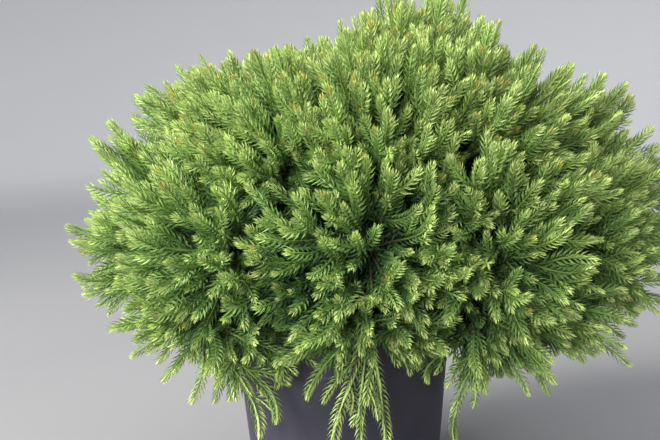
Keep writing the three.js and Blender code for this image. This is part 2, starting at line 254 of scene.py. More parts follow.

# A needle's value, which picks its class: how far out, fresh, high, low and near the tip it is
# Needles deep in the crown fall in the darker classes: partly the older needles' own colour, partly
# painted shade
OUTER_DEPTHS = (0.60, 0.98)
# Painted light: high up, needles count as further out, so fewer get the dark classes of painted shade
PAINTED_SHADE_LIFT_AT_TOP = 0.12
OUTER_VALUE = 0.54
FRESH_VALUES = (0.12, 0.30)
# Painted light: needles high up and low down are painted paler, as if lit from above and from the front
PAINTED_LIGHT_HIGH_UP = 0.08
PAINTED_LIGHT_LOW_DOWN = 0.24
TIP_VALUE = 0.30
VALUE_PLAY = 0.05
CLASS_LIMITS = [0.16, 0.36, 0.58, 0.80, 0.98]

# Lime, cream and bronze tips: how pale a needle has to be, and which shoots have them
TIP_PLAY = 0.06
TIPS_OUTER = 0.5
LIME_PALENESS = 0.46
LIME_BELOW = 0.85
CREAM_PALENESS = 0.74
CREAM_BELOW = 0.20
BRONZE_PALENESS = 0.60
BRONZE_ABOVE = (0.97, 0.80)

# Twigs: shares of the shoot that each kind covers, its radii and its number of sides
WOODY_SHARES = np.linspace(0, 0.42, 5)
GREEN_SHARES = np.linspace(0.38, 1, 6)
GREEN_SLIMNESS = np.linspace(1, 0.8, 6)
SIDE_SHARES = np.linspace(0, 1, 4)
STEM_FOOT_RADIUS = 0.0044
LEADER_FOOT_RADIUS = 0.0024
LEADER_TIP_RADIUS = 0.0010
SIDE_RADII = (0.0013, 0.0007)
WOODY_SIDES = 6
GREEN_SIDES = 4
SIDE_SIDES = 3
TWIG_COLOUR = (116, 144, 68)
TWIG_BARK = {"dark": (52, 49, 33), "light": (84, 77, 50), "scale": 260}

# Bark of the trunk and boughs
TRUNK_SHARES = np.linspace(0, 1, 60)
TRUNK_SIDES = 40
TRUNK_SLIMNESS = 0.96
BOUGH_SHARES = np.linspace(0, 1, 40)
BOUGH_SIDES = 14
BROAD_RIDGES = 4
BROAD_RIDGE_HEIGHT = 0.07
NARROW_RIDGES = 7
NARROW_RIDGE_HEIGHT = 0.05
FLAKE_HEIGHT = 0.03
FURROW_RADIUS = 0.93
LIMB_BARK = {"dark": (42, 35, 29), "light": (74, 60, 47), "scale": 90}

# Pot: how finely its outline and holes are made
POT_SIDES = 144
POT_WALL_RINGS = 25
POT_STEP_TURNS = np.linspace(-math.pi / 2, 0, 6)
POT_LIP_TURNS = np.linspace(0, math.pi, 9)
POT_MIDDLE_RADIUS = 0.05
POT_CHAMFER = 0.3
HOLE_SIDES = 24

# Potting mix: its surface is lumpy and falls a little to the wall
MIX_SEED = 41
MIX_SIDES = 96
MIX_TOP_SHARES = np.linspace(0.97, 0.03, 26)
MIX_FALL = 0.003
MIX_FOOT_INSET = 0.003
MIX_FOOT_LIFT = 0.0005
MIX_EDGE_INSET = 0.001
MIX_EDGE_DROP = 0.004
MIX_LUMPS_FROM = 0.0035
MIX_LUMP = 0.004

# Chips of bark on the potting mix: octahedra pushed out of shape. The tilt is in radians
BARK_CHIPS = 420
CHIP_SEED = 43
CHIP_HALF_SIZES = ((0.003, 0.010), (0.002, 0.005), (0.0007, 0.0016))
CHIP_CORNERS = np.array([[1, 0, 0], [0, 1, 0], [-1, 0, 0], [0, -1, 0], [0, 0, 1], [0, 0, -1]], float)
CHIP_FACES = np.array([
    [0, 1, 4], [1, 2, 4], [2, 3, 4], [3, 0, 4], [1, 0, 5], [2, 1, 5], [3, 2, 5], [0, 3, 5]])
CHIP_UNEVENNESS = 0.3
CHIP_TILT = 0.25
CHIP_SPREAD = (0.06, 0.86)
CHIP_SUNK = 0.002
CHIP_BARK = {"dark": (60, 44, 34), "light": (112, 82, 58), "scale": 120}

# Camera: where the photograph was taken from, worked out from the pot and the crown in it
PHOTO_WIDTH = 660
PHOTO_HEIGHT = 440
FOCAL_PIXELS = 975
SENSOR_WIDTH = 36
CAMERA_PITCH = 8
CAMERA_ROLL = 1.8
CAMERA_BACK = 1.410
CAMERA_SEES = 100
AIM_POINT = np.array([0.0, 0.0, POT_HEIGHT])
AIM_PIXEL = (341, 300)

# Light: an open sky over the studio's wall, with two brighter patches on the left and in front
LIGHT_AIM = (0.05, 0.0, 0.45)
LIGHT_SPREAD = 58
LIGHTS = [
    {"name": "sky_panel", "place": (-4.6, -1.3, 3.3), "size": 2.8, "watts": 86,
     "colour": (1.0, 0.99, 0.96)},
    {"name": "front_panel", "place": (-1.7, -4.2, 1.6), "size": 2.2, "watts": 26,
     "colour": (1.0, 1.0, 1.0)},
]
SKY_COLOUR = (0.86, 0.89, 0.94, 1)
SKY_STRENGTH = 1.18

# Studio: a round floor that curves up into a wall, with colours by their distance from the plant
STUDIO_RADIUS = 7.0
STUDIO_COVE = 1.5
STUDIO_HEIGHT = 4.6
STUDIO_SIDES = 128
STUDIO_FLOOR_SHARES = np.linspace(0.02, 1, 12)
STUDIO_COVE_TURNS = np.linspace(-math.pi / 2, 0, 12)[1:]
STUDIO_PALES_FROM = 1.0
STUDIO_COLOURS = [
    (0.0, (136, 135, 136)), (0.45, (176, 175, 175)), (0.8, (213, 212, 211)), (1.0, (212, 211, 211))]


def unit(vector):
    """Vectors of length 1, along the last axis."""
    return vector / np.linalg.norm(vector, axis=-1, keepdims=True)


def lerp(low, high, share):
    return low + (high - low) * share


def smooth_step(value, low, high):
    share = np.clip((value - low) / (high - low), 0, 1)
    return share * share * (3 - 2 * share)


class Draws:
    """A repeatable stream of numbers from 0 to 1, the same as the one of the solids."""

    def __init__(self, seed):
        self.state = seed
        self()
        self()

    def __call__(self):
        self.state = self.state * DRAW_FACTOR % DRAW_MODULUS
        return self.state / DRAW_MODULUS


def direction_at(bearing, rise):
    """The unit vector at a bearing round from +X and a rise above level."""
    turn = math.radians(bearing)
    lift = math.radians(rise)
    level = math.cos(lift)
    return np.array([math.cos(turn) * level, math.sin(turn) * level, math.sin(lift)])


def turned_about(vector, axis, degrees):
    """A vector turned about a unit axis."""
    angle = math.radians(degrees)
    along = axis * np.dot(axis, vector) * (1 - math.cos(angle))
    return vector * math.cos(angle) + np.cross(axis, vector) * math.sin(angle) + along


def leaned_off(direction, lean, turn):
    """The unit vector that leans off another by an angle, turned about it."""
    side = turned_about(unit(np.cross(direction, UP)), direction, turn)
    return turned_about(direction, side, lean)


def crown_reach(direction):
    """How far the crown reaches from its heart, for unit vectors along the last axis."""
    upright = np.where(direction[..., 2] > 0, CROWN_UP, CROWN_DOWN)
    gain = np.ones(direction.shape[:-1])
    for bearing, rise, swell, width in SWELLS:
        cosine = np.clip(direction @ direction_at(bearing, rise), -1, 1)
        gain = gain + swell * np.exp(-(np.degrees(np.arccos(cosine)) / width) ** 2)
    across = np.hypot(direction[..., 0] / CROWN_HALF_WIDTH, direction[..., 1] / CROWN_HALF_DEPTH)
    return gain / np.hypot(across, direction[..., 2] / upright)


def crown_point(direction, share):
    return HEART + direction * crown_reach(direction) * share


def crown_share(points):
    """How far out points lie in the crown: 0 at its heart, 1 on its surface."""
    offset = points - HEART
    distance = np.linalg.norm(offset, axis=-1)
    return distance / crown_reach(offset / np.maximum(distance, TINY)[..., None])


def skirt_share(points):
    """How much points belong to the skirt: 0 on the crown, 1 low down."""
    offset = points - HEART
    rise = np.degrees(np.arctan2(offset[..., 2], np.hypot(offset[..., 0], offset[..., 1])))
    return 1 - smooth_step(rise, *SKIRT_RISES)


def pot_radius_at(z):
    share = np.clip(z / (POT_HEIGHT - POT_LIP_HEIGHT), 0, 1)
    wall = POT_BASE_RADIUS + (POT_RIM_RADIUS - POT_BASE_RADIUS) * share
    return np.where(z > POT_HEIGHT - POT_LIP_HEIGHT - POT_EDGE, POT_LIP_RADIUS, wall)


def growth_at(direction):
    """Where shoots head at their tips: outwards, turned up on the crown, down on its skirt."""
    lift = GROWTH_LIFT if direction[2] > 0 else SKIRT_LIFT + SKIRT_DROOP * direction[2]
    return unit(direction + UP * lift)


def limb_curve(start, leaving, end, arriving):
    """The four points of a cubic curve that leaves and arrives in given directions."""
    pull = np.linalg.norm(end - start) * CURVE_PULL
    return np.array([start, start + leaving * pull, end - arriving * pull, end])


def curve_points(curve, share):
    """Points of one curve at several shares, or of several curves at one share each."""
    t = np.asarray(share, float)[..., None]
    a, b, c, d = np.moveaxis(curve, -2, 0)
    s = 1 - t
    return s ** 3 * a + 3 * s * s * t * b + 3 * s * t * t * c + t ** 3 * d


def curve_tangents(curve, share):
    t = np.asarray(share, float)[..., None]
    a, b, c, d = np.moveaxis(curve, -2, 0)
    s = 1 - t
    return unit(s * s * (b - a) + 2 * s * t * (c - b) + t * t * (d - c))


def curve_length(curve):
    points = curve_points(curve, np.linspace(0, 1, LENGTH_SAMPLES))
    return float(np.linalg.norm(np.diff(points, axis=0), axis=1).sum())


# Trunk, from its root flare to its fork
TRUNK_RISE = TRUNK_FORK[2] - TRUNK_FOOT[2]
TRUNK_CURVE = np.array([
    TRUNK_FOOT,
    TRUNK_FOOT + UP * TRUNK_RISE * CURVE_PULL,
    TRUNK_FORK - direction_at(*TRUNK_FORK_HEADING) * TRUNK_RISE * CURVE_PULL,
    TRUNK_FORK,
])


def trunk_radius_at(share, turn):
    taper = lerp(*TRUNK_RADII, share)
    flare = np.exp(-share * TRUNK_RISE / ROOT_FLARE_HEIGHT)
    ridge = 1 + ROOT_RIDGE_SHARE * np.cos(turn * ROOT_RIDGES) * flare
    return (taper + ROOT_FLARE * flare) * ridge


@dataclass
class Mass:
    """A bough and the foliage it carries."""
    name: str
    heading: np.ndarray
    site: np.ndarray
    bough: np.ndarray
    stem: np.ndarray
    draw: Draws


def plan_mass(ring, i, draw):
    """One bough of a ring, from the trunk into the foliage, and the stem that goes on from it."""
    bearing = ring["turn"] + i * 360 / ring["count"] + (draw() - 0.5) * BEARING_PLAY
    frontness = max(0.0, -math.sin(math.radians(bearing)))
    rise = ring["rise"] + ring["front"] * frontness + (draw() - 0.5) * RISE_PLAY
    heading = direction_at(bearing, rise)
    foot = curve_points(TRUNK_CURVE, lerp(*ring["leave"], i % LEAVE_STEPS / (LEAVE_STEPS - 1)))
    tip = crown_point(heading, 1 - draw() * TIP_UNEVENNESS)
    entry = crown_point(heading, ENTRY_SHARE)
    if entry[2] < POT_HEIGHT + RIM_CLEARANCE:
        level = unit(tip * (1, 1, 0))
        entry = level * (POT_LIP_RADIUS + RIM_CLEARANCE) + UP * (POT_HEIGHT + RIM_CLEARANCE)
    outwards = math.degrees(math.atan2(entry[1] - foot[1], entry[0] - foot[0]))
    leaving = direction_at(outwards, ring["steep"])
    arriving = unit(unit(tip - entry) + leaving)
    stem_foot = entry + arriving * PIECE_GAP
    return Mass(
        name=f"{ring['name']}_{i + 1}",
        heading=heading,
        site=crown_point(heading, SITE_SHARE),
        bough=limb_curve(foot, leaving, entry, arriving),
        stem=limb_curve(stem_foot, arriving, tip, growth_at(heading)),
        draw=draw)


def plan_masses():
    """All boughs and their masses, ring by ring."""
    masses = []
    for ring in RINGS:
        for i in range(ring["count"]):
            masses.append(plan_mass(ring, i, Draws(FIRST_SEED + SEED_STEP * len(masses))))
    return masses


def clear_of_pot(points, radius):
    across = np.hypot(points[:, 0], points[:, 1])
    low = points[:, 2] < POT_HEIGHT + radius
    return not bool((low & (across < pot_radius_at(points[:, 2]) + radius)).any())


def limb_samples(masses):
    """Points along the trunk and the boughs, with the limb's radius there."""
    shares = np.linspace(0, 1, LIMB_SAMPLES)
    curves = [TRUNK_CURVE, *[mass.bough for mass in masses]]
    radii = [trunk_radius_at(shares, 0.0), np.full(LIMB_SAMPLES * len(masses), BOUGH_RADII[0])]
    return np.concatenate([curve_points(curve, shares) for curve in curves]), np.concatenate(radii)


class Room:
    """The room that a mass's leading shoots share, clear of other masses and of limbs."""

    def __init__(self, mass, masses, limbs):
        others = np.array([other.site for other in masses if other is not mass])
        middle = (others + mass.site) / 2
        self.between = unit(others - mass.site)
        self.reach = np.einsum("ij,ij->i", self.between, middle)[:, None]
        self.limb_points, self.limb_radii = limbs
        self.taken = curve_points(mass.stem, np.linspace(STEM_APART_FROM, 1, SHOOT_SAMPLES))

    def admits(self, curve, radius, gap=0):
        """Whether the outer part of a leading shoot fits in, which then takes up its space."""
        samples = curve_points(curve, np.linspace(APART_FROM, 1, SHOOT_SAMPLES))
        reach = self.reach - self.between @ samples.T
        to_limbs = np.linalg.norm(samples[:, None] - self.limb_points[None], axis=2) - self.limb_radii
        to_shoots = np.linalg.norm(samples[:, None] - self.taken[None], axis=2)
        apart = min(reach.min(), to_limbs.min()) >= radius + SPACE_MARGIN and to_shoots.min() > gap
        if not (apart and clear_of_pot(samples, radius)):
            return False
        self.taken = np.concatenate([self.taken, samples])
        return True


def branch_curve(stem, leave_share, tip, arriving):
    """The curve of a shoot that branches off a stem towards a tip."""
    foot = curve_points(stem, leave_share)
    along = curve_tangents(stem, leave_share)
    away = tip - foot
    sideways = unit(away - along * np.dot(away, along))
    return limb_curve(foot, unit(along + sideways * LEAVE_SLOPE), tip, arriving)


def plume_curve(mass, bearing, height):
    """The curve of a plume that hangs before the pot."""
    level = direction_at(bearing, 0)
    across = float(pot_radius_at(height)) + PLUME_CLEARANCE
    tip = level * across + UP * height
    return branch_curve(mass.stem, PLUME_LEAVE_SHARE, tip, unit(level * PLUME_OUTWARD - UP))


def plume_curves(mass, room):
    """The plumes of one mass that fit, first the ones of the solids and then the slim ones."""
    curves = []
    for plumes, radius in ((PLUMES, SOLID_LEADERS.radius), (SLIM_PLUMES, SLIM_RADIUS)):
        for name, bearing, height in plumes:
            if name == mass.name:
                curves.append(plume_curve(mass, bearing, height))
                if not room.admits(curves[-1], radius):
                    curves.pop()
    return curves


def kept_off_pot(tip):
    """A tip, moved out where it would lie too near the pot."""
    across = math.hypot(tip[0], tip[1])
    least = float(pot_radius_at(tip[2])) + POT_CLEARANCE
    if tip[2] < POT_HEIGHT and across < least:
        return tip * (least / across, least / across, 1)
    return tip


def leading_shoot(mass, room, leaders, number):
    """One leading shoot from the stem to the crown, or None where none fits."""
    spread_share = math.sqrt((number + leaders.inner_room) / (leaders.count + leaders.outer_room))
    turn = leaders.first_turn + number * GOLDEN_ANGLE + mass.draw() * TURN_PLAY
    tip_share = 1 - mass.draw() * TIP_UNEVENNESS
    leave_share = lerp(*LEAVE_SHARES, spread_share)
    for attempt in range(PULL_IN_TRIES):
        lean = leaders.spread * spread_share * (1 - attempt * PULL_IN_SHARE)
        direction = leaned_off(mass.heading, lean, turn)
        low = float(skirt_share(HEART + direction))
        tip = kept_off_pot(crown_point(direction, tip_share * lerp(1, leaders.low_reach, low)))
        curve = branch_curve(mass.stem, leave_share, tip, growth_at(direction))
        if room.admits(curve, leaders.radius, leaders.gap):
            return curve
    return None


def leading_shoots(masses):
    """The leading shoots of all stems, plumes among them, as curves."""
    limbs = limb_samples(masses)
    leading = []
    for mass in masses:
        room = Room(mass, masses, limbs)
        curves = plume_curves(mass, room)
        for leaders in (SOLID_LEADERS, FILL_LEADERS):
            for number in range(leaders.count):
                curves.append(leading_shoot(mass, room, leaders, number))
        leading += [curve for curve in curves if curve is not None]
    return leading


def inner_leader(mass, curve, share, number):
    """A leading shoot that ends inside the crown, or None by the pot."""
    foot = curve_points(curve, share)
    along = curve_tangents(curve, share)
    lean = lerp(*INNER_LEAN, mass.draw())
    heading = unit(unit(foot - HEART) + mass.heading)
    direction = leaned_off(heading, lean, number * GOLDEN_ANGLE + mass.draw() * TURN_PLAY)
    tip = crown_point(direction, lerp(*INNER_TIP_SHARE, mass.draw()))
    leaving = unit(along + unit(tip - foot) * LEAVE_SLOPE)
    shoot = limb_curve(foot, leaving, tip, growth_at(direction))
    samples = curve_points(shoot, np.linspace(INNER_CLEAR_FROM, 1, INNER_SAMPLES))
    return shoot if clear_of_pot(samples, INNER_POT_CLEARANCE) else None


def inner_leaders(masses):
    """Leading shoots all along the boughs' outer parts and the stems' feet."""
    shoots = []
    for mass in masses:
        number = 0
        for curve, (first, last) in ((mass.bough, INNER_BOUGH_SHARES), (mass.stem, INNER_STEM_SHARES)):
            count = math.ceil(curve_length(curve) * (last - first) / INNER_SPACING)
            for k in range(count):
                shoots.append(inner_leader(mass, curve, lerp(first, last, (k + 0.5) / count), number))
                number += 1
    return [shoot for shoot in shoots if shoot is not None]


def side_shoot(curve, share, turn, length, farthest):
    """One side shoot, pulled in where it would reach too far, or None by the pot."""
    foot = curve_points(curve, share)
    along = curve_tangents(curve, share)
    side = unit(np.cross(along, SIDE_GUIDE))
    sideways = turned_about(side, along, turn)
    narrow = lerp(1, SIDE_TOP_ANGLES, float(smooth_step(foot[2], *TOP_HEIGHTS)))
    leave = math.radians(SIDE_LEAVE_ANGLE * narrow)
    arrive = math.radians(SIDE_ARRIVE_ANGLE * narrow)
    leaving = along * math.cos(leave) + sideways * math.sin(leave)
    growing = unit(along + UP * SIDE_LIFT * (1 if along[2] > 0 else -1))
    arriving = growing * math.cos(arrive) + sideways * math.sin(arrive)
    for _ in range(SIDE_TRIES):
        reach = unit(leaving + arriving) * length
        shoot = limb_curve(foot, unit(leaving), foot + reach, unit(arriving))
        samples = curve_points(shoot, np.linspace(SIDE_CLEAR_FROM, 1, SIDE_SAMPLES))
        if crown_share(samples[-1]) < farthest and clear_of_pot(samples, SIDE_POT_CLEARANCE):
            return shoot
        length *= SIDE_PULL_IN
    return None


def side_shoots(leading, draw):
    """Side shoots on every leading shoot, long near its foot and short near its tip."""
    shoots = []
    for curve in leading:
        low = float(skirt_share(curve[-1]))
        leader_share = float(crown_share(curve[-1])) * SIDE_REACH[0]
        spacing = SIDE_SPACING * lerp(1, SKIRT_SPACING, low)
        span = curve_length(curve) * (SIDE_SPAN[1] - SIDE_SPAN[0])
        count = max(SIDE_FEWEST, round(span / spacing))
        first_turn = draw() * 360
        for k in range(count):
            place = (k + SIDE_PLACE + SIDE_PLACE_PLAY * draw()) / count
            share = lerp(*SIDE_SPAN, place)
            turn = first_turn + k * GOLDEN_ANGLE + draw() * TURN_PLAY
            length = lerp(*SIDE_LENGTHS, share ** SIDE_LENGTH_CURVE)
            length *= (1 + (draw() - 0.5) * SIDE_LENGTH_PLAY) * lerp(1, SKIRT_SIDE_LENGTH, low)
            farthest = lerp(*SIDE_REACH, draw()) * lerp(1, SIDE_SKIRT_REACH, low)
            shoots.append(side_shoot(curve, share, turn, length, max(farthest, leader_share)))
    return [shoot for shoot in shoots if shoot is not None]


@dataclass
class Shoots:
    """Many shoots as arrays, with draws for their colour, their tips and their needles' length."""
    curves: np.ndarray
    lengths: np.ndarray
    bare: np.ndarray
    fresh: np.ndarray
    tips: np.ndarray
    vigour: np.ndarray


def gathered(curves, bare, random):
    """The arrays of a list of shoots."""
    count = len(curves)
    return Shoots(
        curves=np.array(curves),
        lengths=np.array([curve_length(curve) for curve in curves]),
        bare=np.full(count, bare),
        fresh=random.random(count),
        tips=random.random(count),
        vigour=random.random(count))


def joined(groups):
    """Several sets of shoots as one."""
    return Shoots(*[np.concatenate(parts) for parts in zip(*[vars(group).values() for group in groups])])


def frames_on(curves, shares):
    """Points on curves, with the directions along them and two across them."""
    points = curve_points(curves, shares)
    along = curve_tangents(curves, shares)
    across = unit(np.cross(along, SIDE_GUIDE))
    third = np.cross(along, across)
    return points, along, across, third


def needle_places(shoots, random):
    """Each needle's shoot, its number and share on it, the frame there, and its depth in the crown."""
    counts = np.round(shoots.lengths * (1 - shoots.bare) * NEEDLES_PER_METRE)
    counts = np.maximum(NEEDLES_FEWEST, counts).astype(int)
    owner = np.repeat(np.arange(len(counts)), counts)
    order = np.arange(len(owner)) - (np.cumsum(counts) - counts)[owner]
    from_tip = (1 - (order + NEEDLE_PLACE) / counts[owner]) ** NEEDLE_CROWDING
    share = lerp(1.0, shoots.bare[owner], from_tip)
    points, along, across, third = frames_on(shoots.curves[owner], share)
    depth = crown_share(points)
    keep = random.random(len(owner)) < lerp(*THINNED_KEPT, smooth_step(depth, *THINNED_DEPTHS))
    return [values[keep] for values in (owner, order, share, points, along, across, third, depth)]


def needle_corners(shoots, random):
    """The four corners of every needle, and each needle's colour class."""
    owner, order, share, points, along, across, third, depth = needle_places(shoots, random)
    count = len(owner)
    turn = np.radians(order * NEEDLE_TURN + random.normal(0, NEEDLE_TURN_PLAY, count))
    turn = turn + shoots.fresh[owner] * NEEDLE_FIRST_TURN
    outwards = across * np.cos(turn)[:, None] + third * np.sin(turn)[:, None]
    to_tip = (1 - share) * shoots.lengths[owner]
    tuft = np.exp(-to_tip / NEEDLE_TUFT_LENGTH)
    length = NEEDLE_LENGTH * (1 - NEEDLE_TUFT_SHORTER * tuft)
    length = length * random.uniform(*NEEDLE_LENGTH_RANGE, count)
    length *= 1 + (shoots.vigour[owner] - 0.5) * NEEDLE_LENGTH_PLAY
    length *= lerp(1, SKIRT_NEEDLE_LENGTH, skirt_share(points))
    lean = lerp(*NEEDLE_LEANS, tuft) + random.normal(0, NEEDLE_LEAN_PLAY, count)
    cosine, sine = np.cos(np.radians(lean))[:, None], np.sin(np.radians(lean))[:, None]
    direction = along * cosine + outwards * sine
    normal = outwards * cosine - along * sine
    breadth = NEEDLE_WIDTH * lerp(*WIDER_BY, smooth_step(depth, *WIDER_DEPTHS))
    half = breadth / 2 * random.uniform(*NEEDLE_WIDTH_RANGE, count)
    width = np.cross(along, outwards) * half[:, None]
    reach = length[:, None]
    root = points + outwards * NEEDLE_ROOT_OUT
    broadest = root + direction * reach * NEEDLE_BROADEST_SHARE + normal * reach * NEEDLE_RISE_SHARE
    tip = root + direction * reach - normal * reach * NEEDLE_BEND_SHARE
    corners = np.stack([root, broadest - width, broadest + width, tip], axis=1)
    paleness = np.exp(-to_tip / PALE_TIP_LENGTH)
    return corners, needle_classes(shoots, owner, depth, points[:, 2], paleness, random)


def needle_classes(shoots, owner, depth, height, paleness, random):
    """The colour class of each needle: dark deep in the crown, partly as older needles and partly as
    painted shade; paler high up and low down as painted light; pale at the tips.
    """
    count = len(owner)
    high = smooth_step(height, *TOP_HEIGHTS)
    low = 1 - smooth_step(height, *PLUME_HEIGHTS)
    # Darker deep in the crown, partly as painted shade, and less of that painted shade high up
    outer = smooth_step(depth + PAINTED_SHADE_LIFT_AT_TOP * high, *OUTER_DEPTHS)
    value = OUTER_VALUE * outer + lerp(*FRESH_VALUES, outer) * shoots.fresh[owner]
    # Painted light: paler high up and low down
    value = value + PAINTED_LIGHT_HIGH_UP * high + PAINTED_LIGHT_LOW_DOWN * low
    value += random.normal(0, VALUE_PLAY, count)
    classes = np.digitize(value + TIP_VALUE * paleness, CLASS_LIMITS)
    pale = (paleness + random.normal(0, TIP_PLAY, count)) * (outer > TIPS_OUTER)
    kind = shoots.tips[owner]
    classes[(pale > LIME_PALENESS) & (kind < LIME_BELOW)] = LIME
    classes[(pale > CREAM_PALENESS) & (kind < CREAM_BELOW)] = CREAM
    classes[(pale > BRONZE_PALENESS) & (kind > lerp(*BRONZE_ABOVE, high))] = BRONZE
    return classes


def in_scene(name, data):
    """A new object in the scene."""
    added = bpy.data.objects.new(name, data)
    bpy.context.scene.collection.objects.link(added)
    return added


def placed(name, mesh, material, nodes):
    """A piece of the object that rides on its body and stands for CAD nodes."""
    piece = in_scene(name, mesh)
    mesh.materials.append(material)
    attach(piece, BODY)
    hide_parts(*nodes)


def mesh_from(name, vertices, corners, sizes, smooth=True):
    """A mesh of polygons, from the vertices, all polygons' corners in a row and each polygon's size."""
    mesh = bpy.data.meshes.new(name)
    mesh.vertices.add(len(vertices))
    mesh.vertices.foreach_set("co", np.asarray(vertices, np.float32).ravel())
    mesh.loops.add(len(corners))
    mesh.loops.foreach_set("vertex_index", np.asarray(corners, np.int32))
    mesh.polygons.add(len(sizes))
    mesh.polygons.foreach_set("loop_start", (np.cumsum(sizes) - sizes).astype(np.int32))
    mesh.polygons.foreach_set("use_smooth", np.full(len(sizes), smooth))
    mesh.update(calc_edges=True)
    return mesh


def mesh_of_shapes(name, shapes, faces, smooth=True):
    """One mesh of many shapes, each with its own vertices and all with the same three-sided faces."""
    starts = np.arange(len(shapes))[:, None, None] * shapes.shape[1]
    corners = (faces[None] + starts).ravel()
    sizes = np.full(len(shapes) * len(faces), TRIANGLE_SIDES)
    return mesh_from(name, shapes.reshape(-1, 3), corners, sizes, smooth)


def even_turns(sides, first=0):
    """Angles all the way round, in radians."""
    return (np.arange(sides) + first) / sides * 2 * math.pi


def ring_points(radius, z, sides, first=0):
    """A level ring of points round the pot's axis."""
    turn = even_turns(sides, first)
    return np.column_stack([np.cos(turn) * radius, np.sin(turn) * radius, np.full(sides, z)])


def band_corners(first, rings, sides):
    """The corners of the four-sided faces between rings of vertices that follow each other."""
    low = first + np.arange(rings - 1)[:, None] * sides
    high = low + sides
    side = np.arange(sides)[None]
    following = (side + 1) % sides
    return np.stack([low + side, low + following, high + following, high + side], axis=-1).ravel()


def tube_mesh(name, curves, shares, radii, sides, relief=None):
    """Closed tapering tubes along curves. radii holds a radius for each curve and share."""
    count, rings = len(curves), len(shares)
    points, _, across, third = frames_on(np.repeat(curves, rings, axis=0), np.tile(shares, count))
    turn = even_turns(sides)
    cosine, sine = np.cos(turn)[None, :, None], np.sin(turn)[None, :, None]
    outwards = across[:, None] * cosine + third[:, None] * sine
    radius = np.repeat(radii.reshape(-1, 1), sides, axis=1)
    if relief is not None:
        radius = radius * relief(np.tile(shares, count)[:, None], turn[None])
    vertices = points[:, None] + outwards * radius[..., None]

    foot = np.arange(sides)[::-1]
    top = (rings - 1) * sides + np.arange(sides)
    one_tube = np.concatenate([band_corners(0, rings, sides), foot, top])
    starts = np.arange(count)[:, None] * rings * sides
    corners = (one_tube[None] + starts).ravel()
    sizes = np.tile(np.concatenate([np.full((rings - 1) * sides, QUAD_SIDES), [sides, sides]]), count)
    return mesh_from(name, vertices.reshape(-1, 3), corners, sizes)


def turned_mesh(name, outline, sides):
    """A closed turned shape from an outline that starts and ends on its axis."""
    rings = [ring_points(radius, z, sides) for radius, z in outline[1:-1]]
    foot_point, top_point = [np.array([[0.0, 0.0, outline[end][1]]]) for end in (0, -1)]
    vertices = np.concatenate([foot_point, *rings, top_point])
    last = len(vertices) - 1
    top = last - sides
    side = np.arange(sides)
    following = (side + 1) % sides
    foot_fan = np.stack([np.zeros(sides, int), 1 + following, 1 + side], axis=1).ravel()
    top_fan = np.stack([top + side, top + following, np.full(sides, last)], axis=1).ravel()
    corners = np.concatenate([foot_fan, band_corners(1, len(rings), sides), top_fan])
    fan_sizes = np.full(sides, TRIANGLE_SIDES)
    sizes = np.concatenate([fan_sizes, np.full((len(rings) - 1) * sides, QUAD_SIDES), fan_sizes])
    return mesh_from(name, vertices, corners, sizes)


def tapered(count, shares, foot_radius, tip_radius):
    """Radii that fall from foot to tip, for each of several shoots."""
    return np.tile(lerp(foot_radius, tip_radius, shares), (count, 1))


def needle_pieces(shoots, nodes, random):
    """The needles of the whole crown, joined by colour into pieces of a limited size."""
    corners, classes = needle_corners(shoots, random)
    for number, (colour_name, colour) in enumerate(NEEDLE_COLOURS.items()):
        chosen = corners[classes == number]
        material = needle_material(colour_name, colour)
        for part, first in enumerate(range(0, len(chosen), NEEDLES_A_PIECE)):
            name = f"needles_{colour_name}_{part + 1}"
            mesh = mesh_of_shapes(name, chosen[first:first + NEEDLES_A_PIECE], NEEDLE_FACES)
            placed(name, mesh, material, nodes)


def twig_pieces(stems, leading, sides, nodes):
    """The woody feet of stems and leading shoots, and the green twigs of this year's growth."""
    wood = bark_material("twig_bark", **TWIG_BARK)
    green = needle_material("twig", TWIG_COLOUR)
    whole = joined([stems, leading])
    counts = [len(stems.lengths), len(leading.lengths)]
    foot = np.repeat([STEM_FOOT_RADIUS, LEADER_FOOT_RADIUS], counts)[:, None]
    woody_radii = lerp(foot, LEADER_TIP_RADIUS, WOODY_SHARES)
    green_radii = lerp(foot, LEADER_TIP_RADIUS, GREEN_SHARES) * GREEN_SLIMNESS
    side_radii = tapered(len(sides.lengths), SIDE_SHARES, *SIDE_RADII)
    for name, shoots, shares, radii, around, material in (
            ("woody_twigs", whole, WOODY_SHARES, woody_radii, WOODY_SIDES, wood),
            ("green_twigs", whole, GREEN_SHARES, green_radii, GREEN_SIDES, green),
            ("side_twigs", sides, SIDE_SHARES, side_radii, SIDE_SIDES, green)):
        mesh = tube_mesh(name, shoots.curves, shares, radii, around)
        placed(name, mesh, material, nodes)


def bark_relief(share, turn):
    """Stringy ridges that run up a limb and wander a little round it."""
    wander = 0.5 * np.sin(share * 9 + 1.3) + 0.3 * np.sin(share * 23)
    broad = np.abs(np.sin(BROAD_RIDGES * turn + wander * 2)) * BROAD_RIDGE_HEIGHT
    narrow = np.abs(np.sin(NARROW_RIDGES * turn - wander * 3 + 1)) * NARROW_RIDGE_HEIGHT
    flakes = FLAKE_HEIGHT * np.sin(share * 60 + 3 * turn) * np.sin(5 * turn + share * 31)
    return FURROW_RADIUS + (broad + narrow) + flakes


def trunk_relief(share, turn):
    """The bark's relief and the ridges of the root flare."""
    return bark_relief(share, turn) * trunk_radius_at(share, turn) / trunk_radius_at(share, 0.0)


